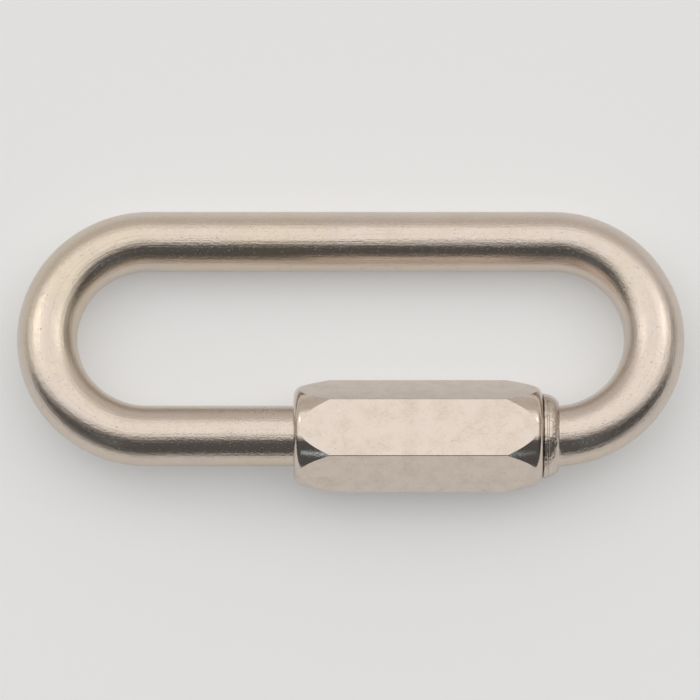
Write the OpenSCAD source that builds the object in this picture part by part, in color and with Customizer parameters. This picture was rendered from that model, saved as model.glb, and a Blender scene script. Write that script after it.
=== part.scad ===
// Chain quick link: a bent round bar whose two threaded ends are joined by a long hexagonal sleeve nut.
// It lies as it comes to rest, on a flat of the nut and on the closed side of the bar.
// X runs along the nut's axis towards the stop collar, Y towards the closed side, and Z up.
// Lengths are in millimetres and angles in degrees. Threads are drawn as plain cylinders at the crest.

/* [Bar] */
// Diameter of the round bar
bar_d = 8; // [7:0.1:9]
// Distance between the axis of the closed side and the axis of the nut
side_spacing = 26.85; // [24:0.05:34]
// Straight length of the closed side between the two bows
back_len = 53.65; // [50:0.05:70]

/* [Threaded ends] */
// Height of the thread's crest above the bar
thread_rise = 1; // [0.7:0.1:1.3]
// Length of the thread at the stop end
stop_thread_len = 7.5; // [6:0.5:9]
// Length of the thread at the captive end
captive_thread_len = 9; // [6:0.5:10]
// Clear gap between the two tips
gate_gap = 12; // [9:0.5:13]
// Length of the cone that leads from the bar up to the captive thread
run_up_len = 1.2; // [0.8:0.1:2]
// Bevel round each tip
tip_bevel = 0.8; // [0.4:0.1:1.2]

/* [Stop collar] */
// Height of the collar above the thread's crest
collar_rise = 0.6; // [0.4:0.1:1]
// Width of the collar along the bar
collar_w = 2.05; // [1.6:0.05:3]
// Radius of the collar's domed shoulder
collar_dome_r = 2.5; // [2.4:0.1:3]
// How far the collar's heel reaches past the start of the bow
collar_past_bow = 0.55; // [0.2:0.05:1]
// Distance of the turned groove from the collar's seat face
groove_at = 0.55; // [0.4:0.05:0.8]
// Radius of the turned groove
groove_r = 0.14; // [0.1:0.02:0.2]

/* [Sleeve nut] */
// Length of the nut
nut_len = 32.8; // [30:0.1:36]
// Wall of the nut from the thread's crest to a flat
nut_wall = 1.5; // [1.3:0.1:2]
// Length of the bevel along each corner of the nut
nut_bevel_len = 4.9; // [4:0.1:6]
// Radius that rounds the ends of the nut
nut_crown_r = 1.3; // [1:0.05:1.8]
// Width of the flat seat round each mouth of the nut
seat_w = 0.25; // [0.2:0.05:0.4]

/* [Fits] */
// Clearance between the thread's crest and the nut, on the radius
thread_play = 0.07; // [0.05:0.01:0.1]
// Gap between the nut and the collar with the link closed
seat_gap = 0.05; // [0.02:0.01:0.1]

/* [Hidden] */
$fn = 96;
bow_r = side_spacing / 2;
thread_d = bar_d + 2 * thread_rise;
bore_d = thread_d + 2 * thread_play;
collar_r = thread_d / 2 + collar_rise;
nut_af = thread_d + 2 * nut_wall;
nut_corner_r = nut_af / 2 / cos(30);
nut_face_r = bore_d / 2 + seat_w;

// Places along the nut's axis, measured from the middle of the link
seat_x = back_len / 2 + collar_past_bow - collar_w;
nut_x = seat_x - seat_gap - nut_len;
captive_tip_x = seat_x - stop_thread_len - gate_gap;
captive_thread_x = captive_tip_x - captive_thread_len;
captive_bar_len = captive_thread_x - run_up_len + back_len / 2;

// The bevel of the nut is the line from its corner that touches the crown
bevel_run = [nut_bevel_len - nut_crown_r, nut_corner_r - nut_face_r];
bevel_turn = atan2(bevel_run[1], bevel_run[0]) - asin(nut_crown_r / norm(bevel_run));
bevel_r = nut_face_r + nut_crown_r * cos(bevel_turn);
bevel_z = nut_crown_r * (1 - sin(bevel_turn));
blank_over = 1;
blank_r = nut_corner_r + blank_over;
blank_z = nut_bevel_len + blank_over / tan(bevel_turn);

// The nut stands prouder than the bar, so the link leans by this turn about X
lie_turn = asin((nut_af - bar_d) / 2 / side_spacing);
axis_z = nut_af / 2;
far_y = side_spacing * cos(lie_turn) + bar_d / 2;
axis_y = (nut_corner_r - far_y) / 2;
cut_over = 1;

// Carries what is drawn about the nut's axis to its place above the floor
module on_axis() {
    translate([0, axis_y, axis_z])
        children();
}

// Turns what is drawn along Z to run along X from the given place
module along_x(x) {
    translate([x, 0, 0])
        rotate([0, 90, 0])
            children();
}

// One bow of the bar, from the nut's axis round to the closed side
module bow() {
    translate([back_len / 2, bow_r, 0])
        rotate([0, 0, -90])
            rotate_extrude(angle = 180)
                translate([bow_r, 0])
                    circle(d = bar_d);
}

// A threaded end with its tip bevelled
module threaded_end(len) {
    cylinder(d = thread_d, h = len - tip_bevel);
    translate([0, 0, len - tip_bevel])
        cylinder(d1 = thread_d, d2 = thread_d - 2 * tip_bevel, h = tip_bevel);
}

// Half section of the stop collar, with its seat face at zero
module collar_section() {
    difference() {
        union() {
            square([collar_r - collar_dome_r, collar_w]);
            intersection() {
                translate([collar_r - collar_dome_r, 0])
                    circle(r = collar_dome_r);
                square([collar_r, collar_w]);
            }
        }
        translate([collar_r, groove_at])
            circle(r = groove_r);
    }
}

// Half section of the turned form that bevels and rounds the ends of the nut
module nut_section() {
    polygon([
        [0, 0],
        [nut_face_r, 0],
        [bevel_r, bevel_z],
        [blank_r, blank_z],
        [blank_r, nut_len - blank_z],
        [bevel_r, nut_len - bevel_z],
        [nut_face_r, nut_len],
        [0, nut_len]
    ]);
    for (z = [nut_crown_r, nut_len - nut_crown_r])
        translate([nut_face_r, z])
            circle(r = nut_crown_r);
}

// The bent bar with its threaded ends and stop collar
module link_bar() {
    color([0.76, 0.72, 0.67])
        on_axis()
            rotate([-lie_turn, 0, 0])
                union() {
                    translate([0, side_spacing, 0])
                        along_x(-back_len / 2)
                            cylinder(d = bar_d, h = back_len);
                    bow();
                    mirror([1, 0, 0])
                        bow();
                    along_x(-back_len / 2)
                        cylinder(d = bar_d, h = captive_bar_len);
                    along_x(captive_thread_x - run_up_len)
                        cylinder(d1 = bar_d, d2 = thread_d, h = run_up_len);
                    along_x(captive_thread_x)
                        threaded_end(captive_thread_len);
                    along_x(seat_x)
                        rotate_extrude()
                            collar_section();
                    along_x(seat_x)
                        mirror([0, 0, 1])
                            threaded_end(stop_thread_len);
                }
}

// The long hexagonal nut, bored through, with a flat down
module sleeve_nut() {
    color([0.80, 0.75, 0.70])
        on_axis()
            along_x(nut_x)
                difference() {
                    intersection() {
                        rotate([0, 0, 30])
                            cylinder(r = nut_corner_r, h = nut_len, $fn = 6);
                        rotate_extrude()
                            nut_section();
                    }
                    translate([0, 0, -cut_over])
                        cylinder(d = bore_d, h = nut_len + 2 * cut_over);
                }
}

link_bar();
sleeve_nut();
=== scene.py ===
"""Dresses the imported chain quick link: the threaded link bar, the tapped sleeve nut, and the stage."""

import math

import bmesh
import bpy
from bpy.props import FloatProperty, FloatVectorProperty, IntProperty, PointerProperty
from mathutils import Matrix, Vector


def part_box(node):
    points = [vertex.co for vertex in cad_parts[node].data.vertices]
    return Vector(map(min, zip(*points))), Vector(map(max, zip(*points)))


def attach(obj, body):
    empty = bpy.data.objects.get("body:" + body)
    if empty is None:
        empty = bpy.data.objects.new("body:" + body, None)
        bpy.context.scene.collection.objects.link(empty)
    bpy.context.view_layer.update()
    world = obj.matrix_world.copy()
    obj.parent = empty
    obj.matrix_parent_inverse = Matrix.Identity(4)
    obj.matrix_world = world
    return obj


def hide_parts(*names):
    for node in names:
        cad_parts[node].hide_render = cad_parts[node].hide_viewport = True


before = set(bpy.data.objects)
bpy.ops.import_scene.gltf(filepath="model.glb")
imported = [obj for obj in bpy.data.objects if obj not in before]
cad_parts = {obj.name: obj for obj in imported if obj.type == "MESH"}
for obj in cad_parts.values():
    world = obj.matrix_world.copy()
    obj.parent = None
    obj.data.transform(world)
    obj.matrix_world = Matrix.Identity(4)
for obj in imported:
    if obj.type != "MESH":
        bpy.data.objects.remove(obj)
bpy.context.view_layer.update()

bl_info = {
    "name": "Chain Quick Link",
    "version": (1, 0, 0),
    "blender": (4, 5, 0),
    "location": "View3D > Sidebar > Quick Link",
    "description": "Builds the plated link bar and sleeve nut of a chain quick link on its packed frame",
    "category": "Object",
}

MM = 0.001
PER_MM = 1 / MM
NUT_LOW, NUT_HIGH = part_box("sleeve_nut")
NUT_AXIS = (NUT_LOW + NUT_HIGH) / 2

# Depth of a thread as a share of its pitch, and the steps in one turn of it
THREAD_DEPTH = 0.5413
THREAD_STEPS = 84
# Facets round a thread's blank and round the collar and the nut's mouths, and steps along the closed side
BLANK_SIDES = 96
RING_SIDES = 192
BACK_STEPS = 24
# How far a cutting form stands clear of what it cuts, and how far the bar runs straight under the collar
OVER = 0.1 * MM
COLLAR_HEEL = 0.8 * MM
# How near points of a finished piece merge, and how far off a straight edge one may lie and still be dropped
WELD = 0.002 * MM
STRAIGHT = 0.0001 * MM
# A slanted line to sort points along
SLANT = Vector((1.0, 0.618, 0.414))

# The camera's sensor in millimetres, and the floor's width and its depth under the link in metres
SENSOR = 36.0
FLOOR_SIZE = 40.0
FLOOR_DROP = 0.00002
# Places of the right-hand lamp and window in metres, and the colours of their light
LAMP_PLACE, LAMP_TINT = (0.27, 0.165, 0.30), (1.0, 0.97, 0.92)
WINDOW_PLACE, WINDOW_TINT = (0.212, -0.352, 0.285), (0.66, 0.88, 1.0)
WHITE = (1.0, 1.0, 1.0)


def length(name, text, mm):
    """A length for the panel, given in millimetres."""
    return FloatProperty(
        name=name, description=text, default=mm * MM, unit="LENGTH", subtype="DISTANCE", precision=5
    )


def angle(name, text, degrees):
    """An angle for the panel, given in degrees."""
    return FloatProperty(
        name=name, description=text, default=math.radians(degrees), unit="ROTATION", subtype="ANGLE"
    )


def colour(name, text, rgb):
    """A colour for the panel."""
    return FloatVectorProperty(
        name=name, description=text, default=rgb, size=3, subtype="COLOR", min=0.0, max=1.0
    )


class QUICKLINK_PG_bar(bpy.types.PropertyGroup):
    """Sizes of the bent bar and its threaded ends."""

    bar_d: length("Bar", "Diameter of the round bar", 8.0)
    side_spacing: length("Sides", "Distance between the closed side and the nut's axis", 26.85)
    back_len: length("Closed side", "Straight length of the closed side", 53.65)
    seat_x: length("Seat", "Place of the stop collar's seat face along the nut's axis", 25.325)
    stop_thread_len: length("Stop thread", "Length of the thread at the stop end", 7.5)
    captive_thread_len: length("Captive thread", "Length of the thread at the captive end", 9.0)
    gate_gap: length("Gate", "Gap between the two tips", 12.0)
    run_up_len: length("Run-up", "Length of the cone up to the captive thread", 1.2)
    tip_bevel: length("Tip bevel", "Bevel round each tip", 0.8)
    collar_d: length("Collar", "Largest diameter of the stop collar", 11.2)
    collar_w: length("Collar width", "Width of the stop collar along the bar", 2.05)
    collar_dome_r: length("Collar dome", "Radius of the collar's domed shoulder", 2.5)
    groove_at: length("Groove", "Distance of the turned groove from the seat face", 0.55)
    groove_r: length("Groove radius", "Radius of the turned groove", 0.14)
    sides: IntProperty(name="Sides", description="Facets round the bar", default=96)
    bow_steps: IntProperty(name="Bow steps", description="Steps round each bow", default=72)


class QUICKLINK_PG_nut(bpy.types.PropertyGroup):
    """Sizes of the sleeve nut and of the thread that it shares with the bar."""

    nut_af: length("Flats", "Distance across the flats", 13.0)
    nut_len: length("Length", "Length of the nut", 32.8)
    nut_bevel_len: length("Bevel", "Length of the bevel along each corner", 4.9)
    nut_crown_r: length("Crown", "Radius that rounds the ends", 1.3)
    seat_w: length("Seat", "Width of the flat seat round each mouth", 0.25)
    edge_r: length("Edge", "Rounding of the six long edges", 0.09)
    thread_d: length("Thread", "Diameter over the thread's crest", 10.0)
    thread_pitch: length("Pitch", "Travel for one turn of the nut", 1.5)
    thread_play: length("Play", "Clearance between the two threads, on the radius", 0.07)
    sides: IntProperty(name="Sides", description="Facets round the turned ends", default=240)


class QUICKLINK_PG_stage(bpy.types.PropertyGroup):
    """The camera, the floor and the light."""

    elevation: angle("Elevation", "Height of the camera above the floor", 79.0)
    distance: length("Distance", "Distance of the camera", 650.0)
    field: length("Field", "Width of floor that the picture shows", 92.84)
    aim_x: length("Aim along", "Point that the camera looks at, along the nut's axis", -0.09)
    aim_y: length("Aim across", "Point that the camera looks at, across the link", 0.22)
    aim_z: length("Aim up", "Point that the camera looks at, above the floor", 5.0)
    lamp_size: length("Lamp", "Width of each of the two square lamps", 82.0)
    lamp_glow: FloatProperty(
        name="Lamp glow", description="Brightness of each lamp's face", default=1.6, min=0.0
    )
    window_size: length("Window", "Width of each of the two small square windows in front", 46.0)
    window_glow: FloatProperty(
        name="Window glow", description="Brightness of each window", default=1.0, min=0.0
    )
    room_glow: FloatProperty(
        name="Room glow", description="Brightness of the soft room", default=1.12, min=0.0
    )
    bar_colour: colour("Bar plate", "Colour of the plating on the bar", (0.69, 0.60, 0.53))
    nut_colour: colour("Nut plate", "Colour of the plating on the nut", (0.70, 0.61, 0.54))
    floor_colour: colour("Floor", "Colour of the floor", (0.95, 0.95, 0.95))
    floor_lift: FloatProperty(
        name="Floor lift",
        description="Share of white in the floor as it is seen",
        default=0.25,
        min=0.0,
        max=1.0,
    )


class Flow:
    """A value or colour on its way through a node tree, with the operators that act on it."""

    def __init__(self, tree, socket):
        self.tree = tree
        self.socket = socket

    def math(self, operation, other=None):
        sockets = {0: self} if other is None else {0: self, 1: other}
        return self.tree.node("ShaderNodeMath", {"operation": operation}, sockets)

    def __add__(self, other):
        return self.math("ADD", other)

    __radd__ = __add__

    def __sub__(self, other):
        return self.math("SUBTRACT", other)

    def __rsub__(self, other):
        return self.tree.node("ShaderNodeMath", {"operation": "SUBTRACT"}, {0: other, 1: self})

    def __mul__(self, other):
        return self.math("MULTIPLY", other)

    __rmul__ = __mul__

    def high(self, other):
        """The greater of two values."""
        return self.math("MAXIMUM", other)

    def beside(self, name):
        """Another output of the same node."""
        return Flow(self.tree, self.socket.node.outputs[name])

    def ramp(self, start, end):
        """Nought below start and one above end, with a soft step between."""
        settings = {"interpolation_type": "SMOOTHSTEP"}
        sockets = {"Value": self, 1: start, 2: end, 3: 0.0, 4: 1.0}
        return self.tree.node("ShaderNodeMapRange", settings, sockets)

    def stretch(self, along, across, up):
        """Scales a vector by its three parts."""
        settings = {"operation": "MULTIPLY"}
        return self.tree.node("ShaderNodeVectorMath", settings, {0: self, 1: (along, across, up)})


class NodeTree:
    """Builds the nodes of one material or world."""

    def __init__(self, owner):
        self.owner = owner
        owner.use_nodes = True
        self.tree = owner.node_tree
        self.tree.nodes.clear()

    def node(self, kind, settings=None, sockets=None, out=0):
        made = self.tree.nodes.new(kind)
        for key, value in (settings or {}).items():
            if key == "stops":
                ramp = made.color_ramp
                while len(ramp.elements) > 1:
                    ramp.elements.remove(ramp.elements[-1])
                for i, (place, shade) in enumerate(value):
                    stop = ramp.elements[0] if i == 0 else ramp.elements.new(place)
                    stop.position = place
                    stop.color = (*shade, 1.0)
            else:
                setattr(made, key, value)
        for key, value in (sockets or {}).items():
            if isinstance(value, Flow):
                self.tree.links.new(value.socket, made.inputs[key])
            else:
                made.inputs[key].default_value = value
        return Flow(self, made.outputs[out]) if made.outputs else None

    def stored(self, name):
        """A place stored on the piece's mesh, in millimetres."""
        place = self.node("ShaderNodeAttribute", {"attribute_name": name}, out=1)
        return place.stretch(PER_MM, PER_MM, PER_MM)

    def noise(self, place, scale, detail=2.0, roughness=0.5):
        sockets = {"Vector": place, "Scale": scale, "Detail": detail, "Roughness": roughness}
        return self.node("ShaderNodeTexNoise", {"noise_dimensions": "3D"}, sockets)

    def scratches(self, place, degrees, start, end):
        """Fine lines that cross the first two parts of a place at an angle."""
        settings = {"vector_type": "POINT"}
        sockets = {"Vector": place, "Rotation": (0.0, 0.0, math.radians(degrees))}
        turned_place = self.node("ShaderNodeMapping", settings, sockets)
        return self.noise(turned_place.stretch(0.35, 7.0, 1.0), 1.0, 2.0, 0.5).ramp(start, end)

    def fan(self, place, stops, turn):
        """Colours that follow an angle, from (degrees, colour) stops over a whole turn or half of one."""
        settings = {"stops": [(degrees / turn + 0.5, shade) for degrees, shade in stops]}
        return self.node("ShaderNodeValToRGB", settings, {"Fac": place})

    def mix(self, share, first, second, blend="MIX"):
        settings = {"data_type": "RGBA", "blend_type": blend}
        return self.node("ShaderNodeMix", settings, {"Factor": share, 6: first, 7: second}, out=2)


def rgba(rgb):
    """A colour with the fourth part that a socket takes."""
    return (*rgb, 1.0)


def rest_selection():
    """Leaves edit mode and deselects everything."""
    if bpy.context.object and bpy.context.object.mode != "OBJECT":
        bpy.ops.object.mode_set(mode="OBJECT")
    bpy.ops.object.select_all(action="DESELECT")


def take(obj):
    """Makes one object the only selected one."""
    rest_selection()
    obj.select_set(True)
    bpy.context.view_layer.objects.active = obj


def begin_piece(name):
    """Names the primitive just added and sinks its place into its mesh, in edit mode."""
    obj = bpy.context.object
    obj.name = name
    obj.data.name = name
    bpy.ops.object.transform_apply(location=True, rotation=True, scale=True)
    bpy.ops.object.mode_set(mode="EDIT")
    bpy.ops.mesh.select_mode(type="VERT")
    bpy.ops.mesh.select_all(action="SELECT")
    return obj


def end_piece(obj, near=1e-7):
    """Merges doubles, turns the faces outwards and leaves edit mode."""
    bpy.ops.mesh.select_mode(type="VERT")
    bpy.ops.mesh.select_all(action="SELECT")
    bpy.ops.mesh.remove_doubles(threshold=near)
    bpy.ops.mesh.normals_make_consistent(inside=False)
    bpy.ops.object.mode_set(mode="OBJECT")
    return obj


def pick_verts(obj, test):
    """Selects the vertices, in edit mode, whose place passes the test."""
    bpy.ops.mesh.select_mode(type="VERT")
    bpy.ops.mesh.select_all(action="DESELECT")
    bpy.ops.object.mode_set(mode="OBJECT")
    for v in obj.data.vertices:
        v.select = bool(test(v.co))
    bpy.ops.object.mode_set(mode="EDIT")


def turned(name, section, sides):
    """Turns a closed solid about the nut's axis from (place along it, radius) points."""
    rest_selection()
    x, r = section[0]
    bpy.ops.mesh.primitive_circle_add(
        vertices=sides, radius=r, fill_type="NGON", location=(x, 0, 0), rotation=(0, math.pi / 2, 0)
    )
    obj = begin_piece(name)
    for next_x, next_r in section[1:]:
        bpy.ops.mesh.extrude_region_move(TRANSFORM_OT_translate={"value": (next_x - x, 0, 0)})
        bpy.ops.transform.resize(value=(1, next_r / r, next_r / r), center_override=(next_x, 0, 0))
        x, r = next_x, next_r
    return end_piece(obj)


def threaded(name, start_x, turns, crest_r, root_r, pitch, steps):
    """A closed threaded rod about the nut's axis, longer than it needs to be at both ends."""
    flank = (crest_r - root_r) * math.tan(math.radians(30))
    crest_flat = pitch / 8
    root_flat = pitch - crest_flat - 2 * flank
    tooth = [(root_flat, 0.0), (flank, crest_r - root_r), (crest_flat, 0.0), (flank, root_r - crest_r)]
    rest_selection()
    bpy.ops.mesh.primitive_plane_add(size=MM, location=(start_x, root_r, 0))
    obj = begin_piece(name)
    bpy.ops.mesh.merge(type="CENTER")
    for along, out in tooth:
        bpy.ops.mesh.extrude_region_move(TRANSFORM_OT_translate={"value": (along, out, 0)})
    bpy.ops.object.mode_set(mode="OBJECT")
    screw = obj.modifiers.new("Thread", "SCREW")
    screw.axis = "X"
    screw.steps = steps
    screw.render_steps = steps
    screw.iterations = turns
    screw.screw_offset = pitch
    screw.use_merge_vertices = True
    screw.merge_threshold = 1e-6
    bpy.ops.object.modifier_apply(modifier=screw.name)
    bpy.ops.object.mode_set(mode="EDIT")
    bpy.ops.mesh.select_all(action="SELECT")
    bpy.ops.mesh.remove_doubles(threshold=1e-6)
    middle = start_x + (turns + 1) * pitch / 2
    for side in (-1, 1):
        bpy.ops.mesh.select_mode(type="VERT")
        bpy.ops.mesh.select_all(action="DESELECT")
        bpy.ops.mesh.select_non_manifold()
        bpy.ops.object.mode_set(mode="OBJECT")
        for v in obj.data.vertices:
            v.select = v.select and (v.co.x - middle) * side > 0
        for e in obj.data.edges:
            a, b = (obj.data.vertices[i].select for i in e.vertices)
            e.select = e.select and a and b
        bpy.ops.object.mode_set(mode="EDIT")
        bpy.ops.mesh.extrude_edges_move(TRANSFORM_OT_translate={"value": (side * pitch, 0, 0)})
        bpy.ops.mesh.merge(type="CENTER")
    return end_piece(obj)


def cut(obj, tool, operation):
    """Joins, cuts or trims one solid with another, which is used up."""
    take(obj)
    work = obj.modifiers.new("Cut", "BOOLEAN")
    work.operation = operation
    work.solver = "EXACT"
    work.object = tool
    bpy.ops.object.modifier_apply(modifier=work.name)
    spent = tool.data
    bpy.data.objects.remove(tool)
    bpy.data.meshes.remove(spent)
    if not len(obj.data.polygons):
        raise RuntimeError(f"{obj.name} came out empty from {operation}")
    return obj


def sort_points(obj):
    """Puts the points in a fixed order, so that merging keeps the same ones each run."""
    form = bmesh.new()
    form.from_mesh(obj.data)
    form.verts.sort(key=lambda v: v.co.dot(SLANT))
    form.to_mesh(obj.data)
    form.free()


def drop_idle_points(obj):
    """Dissolves the points that lie on a straight edge between just two neighbours."""
    form = bmesh.new()
    form.from_mesh(obj.data)
    idle = []
    for v in form.verts:
        if len(v.link_edges) == 2:
            start, end = (edge.other_vert(v).co for edge in v.link_edges)
            line = end - start
            if (v.co - start).cross(line).length < STRAIGHT * line.length:
                idle.append(v)
    bmesh.ops.dissolve_verts(form, verts=idle)
    form.to_mesh(obj.data)
    form.free()


def lay_down(obj, lean):
    """Leans a piece about the nut's axis and carries it to its place above the floor."""
    sort_points(obj)
    take(obj)
    bpy.ops.object.mode_set(mode="EDIT")
    end_piece(obj, WELD)
    drop_idle_points(obj)
    obj.rotation_euler = (-lean, 0, 0)
    obj.location = (0, NUT_AXIS.y, NUT_AXIS.z)
    bpy.ops.object.transform_apply(location=True, rotation=True, scale=True)


def smooth(obj, degrees):
    """Shades smooth, with edges sharper than the angle left crisp."""
    take(obj)
    bpy.ops.object.shade_smooth_by_angle(angle=math.radians(degrees))


def arc(centre_x, centre_r, radius, start, end, steps):
    """Points along an arc of a turned section; nought degrees points out and ninety along the axis."""
    out = []
    for i in range(steps + 1):
        turn = math.radians(start + (end - start) * i / steps)
        out.append((centre_x + radius * math.sin(turn), centre_r + radius * math.cos(turn)))
    return out


def plated_bar(tint, collar_ends):
    """Bright plating over drawn bar: lengthwise lines, slight peel, dark pits and a dented collar."""
    tree = NodeTree(bpy.data.materials.new("bright_plate_on_drawn_bar"))
    place = tree.stored("unbent")
    lines = tree.noise(place.stretch(0.05, 3.2, 3.2), 1.0, 4.0, 0.65)
    streaks = tree.noise(place.stretch(0.025, 1.5, 1.5), 1.0, 5.0, 0.7)
    peel = tree.noise(place.stretch(0.6, 1.0, 1.0), 2.5, 3.0, 0.6)
    grain = tree.noise(place.stretch(0.7, 1.0, 1.0), 4.4, 3.0, 0.7)
    mottle = tree.noise(place, 0.25, 4.0, 0.55).ramp(0.35, 0.75)
    pits = tree.noise(place.stretch(0.7, 1.0, 1.0), 5.5, 1.0, 0.4).ramp(0.71, 0.77)
    drift = tree.noise(place.stretch(0.5, 1.0, 1.0), 0.11, 3.0, 0.6).ramp(0.42, 0.66)
    along = tree.node("ShaderNodeSeparateXYZ", None, {0: place})
    first, last = (end * PER_MM for end in collar_ends)
    on_collar = along.ramp(first - 0.2, first + 0.2) * (1 - along.ramp(last - 0.2, last + 0.1))
    dents = tree.noise(place, 0.9, 2.0, 0.55) * on_collar
    dull = rgba((tint[0] * 0.86, tint[1] * 0.85, tint[2] * 0.82))
    yellowed = rgba((tint[0], tint[1] * 0.99, tint[2] * 0.84))
    skin = tree.mix(drift * 0.55, rgba(tint), yellowed)
    skin = tree.mix(mottle * 0.30, skin, dull)
    skin = tree.mix(streaks.ramp(0.50, 0.68) * 0.45, skin, dull)
    skin = tree.mix(grain.ramp(0.54, 0.80) * 0.40, skin, rgba((0.36, 0.31, 0.27)))
    skin = tree.mix(pits * 0.6, skin, rgba((0.09, 0.075, 0.06)))
    rough = 0.11 + lines * 0.06 + grain * 0.05 + mottle * 0.03 + pits * 0.3
    height = peel * 0.6 + grain * 1.2 + lines * 0.9 + dents * 6.0 - pits * 0.3
    bump = tree.node("ShaderNodeBump", None, {"Strength": 1.0, "Distance": 0.00003, "Height": height})
    return finish_plating(tree, skin, rough, bump)


def plated_nut(tint):
    """Bright plating over hexagonal bar: smoother than the bar, with fine scuffs and a few pits."""
    tree = NodeTree(bpy.data.materials.new("bright_plate_on_hexagon"))
    place = tree.stored("unrolled")
    lines = tree.noise(place.stretch(0.05, 2.2, 2.2), 1.0, 4.0, 0.6)
    ribs = tree.noise(place.stretch(4.0, 0.12, 1.0), 1.0, 2.0, 0.5)
    peel = tree.noise(place, 1.1, 2.0, 0.5)
    fine = tree.noise(place, 4.2, 3.0, 0.6)
    mottle = tree.noise(place, 0.45, 5.0, 0.65).ramp(0.38, 0.70)
    scuffs = tree.scratches(place, 34, 0.66, 0.74).high(tree.scratches(place, -52, 0.68, 0.76))
    specks = tree.noise(place.stretch(0.5, 1.0, 1.0), 4.6, 3.0, 0.7).ramp(0.53, 0.68) * mottle
    pits = tree.noise(place.stretch(0.6, 1.0, 1.0), 3.6, 3.0, 0.6).ramp(0.69, 0.78)
    dull = rgba((tint[0] * 0.84, tint[1] * 0.82, tint[2] * 0.77))
    skin = tree.mix(mottle * 0.45, rgba(tint), dull)
    skin = tree.mix(fine.ramp(0.52, 0.80) * 0.22, skin, rgba((0.40, 0.34, 0.29)))
    skin = tree.mix(scuffs * 0.35, skin, rgba((0.36, 0.31, 0.26)))
    skin = tree.mix(specks * 0.42, skin, rgba((0.34, 0.27, 0.21)))
    skin = tree.mix(pits * 0.5, skin, rgba((0.14, 0.11, 0.09)))
    rough = 0.07 + lines * 0.03 + ribs * 0.02 + mottle * 0.04 + scuffs * 0.12 + pits * 0.3
    height = peel * 0.4 + fine * 0.5 + lines * 0.2 + ribs * 0.25 - scuffs * 0.12 - pits * 0.5
    bump = tree.node("ShaderNodeBump", None, {"Strength": 1.0, "Distance": 0.00002, "Height": height})
    return finish_plating(tree, skin, rough, bump)


def finish_plating(tree, skin, rough, bump):
    """Puts the plating's colour, gloss and relief on a metal."""
    sockets = {"Base Color": skin, "Metallic": 1.0, "Roughness": rough, "Normal": bump}
    shader = tree.node("ShaderNodeBsdfPrincipled", None, sockets)
    tree.node("ShaderNodeOutputMaterial", None, {"Surface": shader})
    return tree.owner


def straighten(obj, bar, lean):
    """Stores where each point of the bar would lie if the bar were straight."""
    half, bow, spacing = bar.back_len / 2, bar.side_spacing / 2, bar.side_spacing
    c, s = math.cos(lean), math.sin(lean)
    places = []
    for v in obj.data.vertices:
        x, y, z = v.co.x, v.co.y - NUT_AXIS.y, v.co.z - NUT_AXIS.z
        y, z = c * y - s * z, s * y + c * z
        if x < -half:
            out = math.hypot(x + half, y - bow) - bow
            along = math.atan2(-half - x, bow - y) * bow
        elif x > half:
            out = math.hypot(x - half, y - bow) - bow
            along = math.pi * bow + bar.back_len + math.atan2(x - half, y - bow) * bow
        elif y > bow:
            out = y - spacing
            along = math.pi * bow + half + x
        elif x < bar.seat_x - bar.stop_thread_len - bar.gate_gap / 2:
            out = -y
            along = -half - x
        else:
            out = -y
            along = 2 * math.pi * bow + bar.back_len + half - x
        places += [along, out, z]
    store = obj.data.attributes.new("unbent", "FLOAT_VECTOR", "POINT")
    store.data.foreach_set("vector", places)


def unroll(obj, nut):
    """Stores where each point of the nut would lie if its six flats were laid out side by side."""
    reach = nut.nut_af / 2
    flat = 2 * reach * math.tan(math.pi / 6)
    places = []
    for v in obj.data.vertices:
        y, z = v.co.y - NUT_AXIS.y, v.co.z - NUT_AXIS.z
        turn = math.atan2(z, y) % (2 * math.pi)
        count = math.floor(turn / (math.pi / 3))
        across = reach * math.tan(turn - (count + 0.5) * math.pi / 3)
        places += [v.co.x, count * flat + across, math.hypot(y, z)]
    store = obj.data.attributes.new("unrolled", "FLOAT_VECTOR", "POINT")
    store.data.foreach_set("vector", places)


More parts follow.
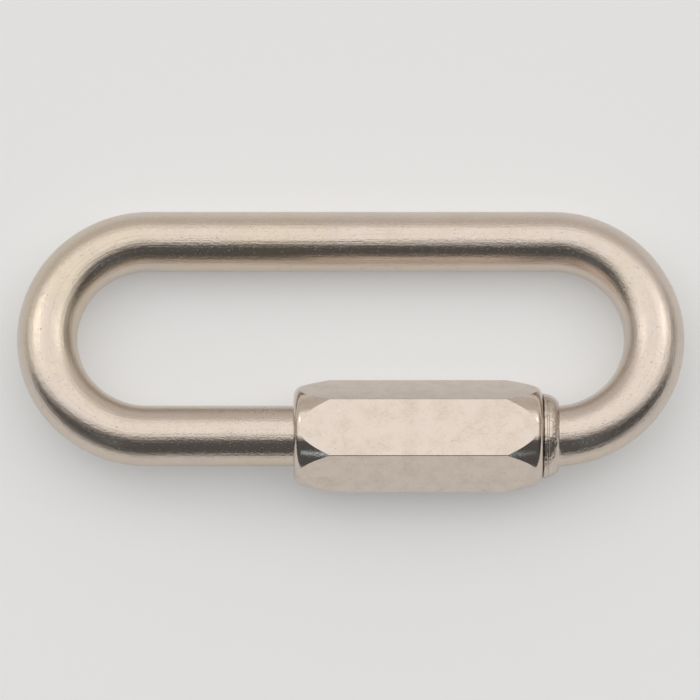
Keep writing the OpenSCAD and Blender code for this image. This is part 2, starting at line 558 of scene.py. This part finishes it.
class QUICKLINK_OT_stage(bpy.types.Operator):
    """Set the camera, the floor and the light"""

    bl_idname = "quicklink.stage"
    bl_label = "Stage"

    def execute(self, context):
        stage = context.scene.quicklink_stage
        scene = context.scene
        scene.view_settings.view_transform = "Standard"
        aim = Vector((stage.aim_x, stage.aim_y, stage.aim_z))
        away = Vector((0, -math.cos(stage.elevation), math.sin(stage.elevation)))
        rest_selection()
        bpy.ops.object.camera_add(location=aim + away * stage.distance)
        camera = context.object
        camera.name = "camera"
        camera.rotation_euler = (-away).to_track_quat("-Z", "Y").to_euler()
        camera.data.sensor_width = SENSOR
        camera.data.lens = SENSOR * stage.distance / stage.field
        camera.data.clip_start = 0.01
        camera.data.clip_end = 100.0
        scene.camera = camera

        rest_selection()
        bpy.ops.mesh.primitive_plane_add(size=FLOOR_SIZE, location=(0, 0, -FLOOR_DROP))
        floor = begin_piece("floor")
        end_piece(floor)
        tree = NodeTree(bpy.data.materials.new("pale_floor"))
        sockets = {"Base Color": rgba(stage.floor_colour), "Roughness": 0.9, "Specular IOR Level": 0.0}
        shader = tree.node("ShaderNodeBsdfPrincipled", None, sockets)
        white = tree.node("ShaderNodeEmission", None, {"Color": rgba(WHITE), "Strength": 1.0})
        rays = tree.node("ShaderNodeLightPath", out="Is Camera Ray")
        seen = rays.high(rays.beside("Is Glossy Ray")).high(rays.beside("Is Transmission Ray"))
        shown = tree.node("ShaderNodeMixShader", None, {0: seen * stage.floor_lift, 1: shader, 2: white})
        tree.node("ShaderNodeOutputMaterial", None, {"Surface": shown})
        floor.data.materials.append(tree.owner)

        lamps = [
            ("lamp", LAMP_PLACE, stage.lamp_size, stage.lamp_glow, LAMP_TINT),
            ("window", WINDOW_PLACE, stage.window_size, stage.window_glow, WINDOW_TINT),
        ]
        for name, (x, y, z), size, glow, tint in lamps:
            for end, way in (("left", -1), ("right", 1)):
                rest_selection()
                bpy.ops.object.light_add(type="AREA", location=(way * x, y, z))
                lamp = context.object
                lamp.name = f"{name}_{end}"
                lamp.rotation_euler = lamp.location.to_track_quat("Z", "Y").to_euler()
                lamp.data.size = size
                lamp.data.energy = glow * math.pi * size**2
                lamp.data.color = tint

        world = bpy.data.worlds.new("soft_room")
        scene.world = world
        tree = NodeTree(world)
        along = tree.node("ShaderNodeSeparateXYZ", None, {0: tree.node("ShaderNodeTexCoord")})
        across, up = along.beside("Y"), along.beside("Z")
        tilt = across.math("ARCTAN2", up) * (0.5 / math.pi) + 0.5
        side = along.math("ARCSINE") * (1 / math.pi) + 0.5
        front, overhead, back = (0.09, 0.09, 0.09), (1.0, 0.99, 0.97), (0.56, 0.53, 0.50)
        wall = (0.40, 0.39, 0.37)
        tilts = [(-22, front), (-8, overhead), (46, overhead), (56, back)]
        sides = [(-78, wall), (-62, WHITE), (50, WHITE), (66, wall)]
        room = tree.mix(1.0, tree.fan(tilt, tilts, 360.0), tree.fan(side, sides, 180.0), "MULTIPLY")
        glow = tree.node("ShaderNodeBackground", None, {"Color": room, "Strength": stage.room_glow})
        tree.node("ShaderNodeOutputWorld", None, {"Surface": glow})
        return {"FINISHED"}


class QUICKLINK_OT_link_bar(bpy.types.Operator):
    """Bend the bar, turn its collar and thread its two ends"""

    bl_idname = "quicklink.link_bar"
    bl_label = "Link bar"

    def execute(self, context):
        bar = context.scene.quicklink_bar
        nut = context.scene.quicklink_nut
        lean = math.asin((nut.nut_af - bar.bar_d) / 2 / bar.side_spacing)
        half, bow = bar.back_len / 2, bar.side_spacing / 2
        tip_x = bar.seat_x - bar.stop_thread_len
        captive_tip_x = tip_x - bar.gate_gap
        captive_x = captive_tip_x - bar.captive_thread_len

        bar_r = bar.bar_d / 2
        run_up = [(captive_x + 0.6 * MM, bar_r - OVER), (captive_x + 0.3 * MM, bar_r + 0.28 * MM)]
        run_up += [(captive_x - bar.run_up_len, bar_r), (-half, bar_r)]
        rest_selection()
        bpy.ops.mesh.primitive_circle_add(
            vertices=bar.sides,
            radius=run_up[0][1],
            fill_type="NOTHING",
            location=(run_up[0][0], 0, 0),
            rotation=(0, math.pi / 2, 0),
        )
        obj = begin_piece("link_bar_threaded")
        for (x, r), (next_x, next_r) in zip(run_up, run_up[1:]):
            bpy.ops.mesh.extrude_region_move(TRANSFORM_OT_translate={"value": (next_x - x, 0, 0)})
            bpy.ops.transform.resize(value=(1, next_r / r, next_r / r), center_override=(next_x, 0, 0))
        bpy.ops.mesh.spin(steps=bar.bow_steps, angle=math.pi, center=(-half, bow, 0), axis=(0, 0, 1))
        for _ in range(BACK_STEPS):
            step = (bar.back_len / BACK_STEPS, 0, 0)
            bpy.ops.mesh.extrude_region_move(TRANSFORM_OT_translate={"value": step})
        bpy.ops.mesh.spin(steps=bar.bow_steps, angle=math.pi, center=(half, bow, 0), axis=(0, 0, 1))
        bpy.ops.mesh.extrude_region_move(TRANSFORM_OT_translate={"value": (-COLLAR_HEEL, 0, 0)})
        for end_x in (run_up[0][0], half - COLLAR_HEEL):
            pick_verts(obj, lambda co: abs(co.x - end_x) < 1e-6 and co.y < bow)
            bpy.ops.mesh.edge_face_add()
        end_piece(obj)

        collar_r = bar.collar_d / 2
        dome_r = collar_r - bar.collar_dome_r
        heel = math.degrees(math.asin(bar.collar_w / bar.collar_dome_r))
        dome = arc(bar.seat_x, dome_r, bar.collar_dome_r, heel, 2.0, 40)
        near = bar.seat_x + bar.groove_at
        dome = [p for p in dome if abs(p[0] - near) > bar.groove_r * 0.95]
        groove = arc(near, collar_r, bar.groove_r, 116, 244, 10)
        section = [p for p in dome if p[0] > near] + groove + [p for p in dome if p[0] < near]
        root_r = nut.thread_d / 2 - THREAD_DEPTH * nut.thread_pitch
        section += [
            (bar.seat_x, collar_r - 0.06 * MM),
            (bar.seat_x, root_r - 0.02 * MM),
            (bar.seat_x - 0.9 * MM, root_r - 0.02 * MM),
            (bar.seat_x - 1.4 * MM, root_r - 0.3 * MM),
        ]
        collar = turned("collar", section, RING_SIDES)

        crest_r = nut.thread_d / 2
        over_r = crest_r + OVER
        pitch = nut.thread_pitch
        rod = threaded("stop_thread", bar.seat_x - 8 * pitch, 10, crest_r, root_r, pitch, THREAD_STEPS)
        blank = [
            (tip_x, crest_r - bar.tip_bevel),
            (tip_x + bar.tip_bevel + OVER, over_r),
            (bar.seat_x - 1.2 * MM, over_r),
            (bar.seat_x - 0.3 * MM, root_r - OVER),
        ]
        cut(rod, turned("stop_blank", blank, BLANK_SIDES), "INTERSECT")
        cut(collar, rod, "UNION")
        cut(obj, collar, "UNION")

        rod = threaded("captive_thread", bar.seat_x - 22 * pitch, 12, crest_r, root_r, pitch, THREAD_STEPS)
        blank = [
            (captive_x - OVER, root_r - OVER),
            (captive_x + 1.0 * MM, over_r),
            (captive_tip_x - bar.tip_bevel - OVER, over_r),
            (captive_tip_x, crest_r - bar.tip_bevel),
        ]
        cut(rod, turned("captive_blank", blank, BLANK_SIDES), "INTERSECT")
        cut(obj, rod, "UNION")

        lay_down(obj, lean)
        smooth(obj, degrees=12)
        straighten(obj, bar, lean)
        obj.data.materials.clear()
        tint = tuple(context.scene.quicklink_stage.bar_colour)
        seat_along = 2 * math.pi * bow + bar.back_len + half - bar.seat_x
        obj.data.materials.append(plated_bar(tint, (seat_along - bar.collar_w, seat_along)))
        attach(obj, "link")
        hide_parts("link_bar")
        return {"FINISHED"}


class QUICKLINK_OT_sleeve_nut(bpy.types.Operator):
    """Turn, bevel and tap the hexagonal sleeve nut"""

    bl_idname = "quicklink.sleeve_nut"
    bl_label = "Sleeve nut"

    def execute(self, context):
        bar = context.scene.quicklink_bar
        nut = context.scene.quicklink_nut
        x0, x1 = NUT_LOW.x, NUT_LOW.x + nut.nut_len
        corner_r = nut.nut_af / 2 / math.cos(math.pi / 6)
        rest_selection()
        bpy.ops.mesh.primitive_cylinder_add(
            vertices=6,
            radius=corner_r,
            depth=nut.nut_len,
            location=((x0 + x1) / 2, 0, 0),
            rotation=(0, math.pi / 2, 0),
        )
        obj = begin_piece("sleeve_nut_tapped")
        bpy.ops.mesh.select_all(action="DESELECT")
        bpy.ops.object.mode_set(mode="OBJECT")
        for e in obj.data.edges:
            a, b = (obj.data.vertices[i].co for i in e.vertices)
            e.select = abs(a.x - b.x) > nut.nut_len / 2
        bpy.ops.object.mode_set(mode="EDIT")
        bpy.ops.mesh.select_mode(type="EDGE")
        bpy.ops.mesh.bevel(offset=nut.edge_r, offset_type="OFFSET", segments=8, profile=0.5)
        end_piece(obj)

        face_r = nut.thread_d / 2 + nut.thread_play + nut.seat_w
        run, rise = nut.nut_bevel_len - nut.nut_crown_r, corner_r - face_r
        slope = math.atan2(rise, run) - math.asin(nut.nut_crown_r / math.hypot(run, rise))
        over = 1.0 * MM
        half = arc(x0 + nut.nut_crown_r, face_r, nut.nut_crown_r, -90, -math.degrees(slope), 18)
        half.append((x0 + nut.nut_bevel_len + over / math.tan(slope), corner_r + over))
        form = [(x0, face_r - 1.0 * MM)] + half
        form += [(x0 + x1 - x, r) for x, r in reversed(form)]
        cut(obj, turned("nut_form", form, nut.sides), "INTERSECT")

        crest_r = nut.thread_d / 2 + nut.thread_play
        root_r = nut.thread_d / 2 - THREAD_DEPTH * nut.thread_pitch + nut.thread_play
        pitch = nut.thread_pitch
        tap = threaded("tap", bar.seat_x - 26 * pitch, 29, crest_r, root_r, pitch, THREAD_STEPS)
        cut(obj, tap, "DIFFERENCE")
        mouth_r = crest_r + 0.04 * MM
        for end, way in ((x0, 1), (x1, -1)):
            sink = [(end - way * 1.0 * MM, mouth_r + 1.0 * MM), (end + way * 1.2 * MM, mouth_r - 1.2 * MM)]
            cut(obj, turned("countersink", sink, RING_SIDES), "DIFFERENCE")

        lay_down(obj, 0.0)
        smooth(obj, degrees=9)
        unroll(obj, nut)
        obj.data.materials.clear()
        tint = tuple(context.scene.quicklink_stage.nut_colour)
        obj.data.materials.append(plated_nut(tint))
        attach(obj, "nut")
        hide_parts("sleeve_nut")
        return {"FINISHED"}


class QUICKLINK_PT_panel(bpy.types.Panel):
    """The steps that build the quick link"""

    bl_label = "Quick Link"
    bl_idname = "QUICKLINK_PT_panel"
    bl_space_type = "VIEW_3D"
    bl_region_type = "UI"
    bl_category = "Quick Link"

    def draw(self, context):
        scene = context.scene
        for group in (scene.quicklink_bar, scene.quicklink_nut, scene.quicklink_stage):
            box = self.layout.box()
            for key in group.bl_rna.properties.keys():
                if key not in ("rna_type", "name"):
                    box.prop(group, key)
        for step in STEPS:
            self.layout.operator(step.bl_idname)


GROUPS = (QUICKLINK_PG_bar, QUICKLINK_PG_nut, QUICKLINK_PG_stage)
STEPS = (QUICKLINK_OT_stage, QUICKLINK_OT_link_bar, QUICKLINK_OT_sleeve_nut)


def register():
    for cls in (*GROUPS, *STEPS, QUICKLINK_PT_panel):
        bpy.utils.register_class(cls)
    bpy.types.Scene.quicklink_bar = PointerProperty(type=QUICKLINK_PG_bar)
    bpy.types.Scene.quicklink_nut = PointerProperty(type=QUICKLINK_PG_nut)
    bpy.types.Scene.quicklink_stage = PointerProperty(type=QUICKLINK_PG_stage)


def unregister():
    del bpy.types.Scene.quicklink_stage
    del bpy.types.Scene.quicklink_nut
    del bpy.types.Scene.quicklink_bar
    for cls in reversed((*GROUPS, *STEPS, QUICKLINK_PT_panel)):
        bpy.utils.unregister_class(cls)


def main():
    register()
    bpy.ops.quicklink.stage()
    bpy.ops.quicklink.link_bar()
    bpy.ops.quicklink.sleeve_nut()


if __name__ == "__main__":
    main()
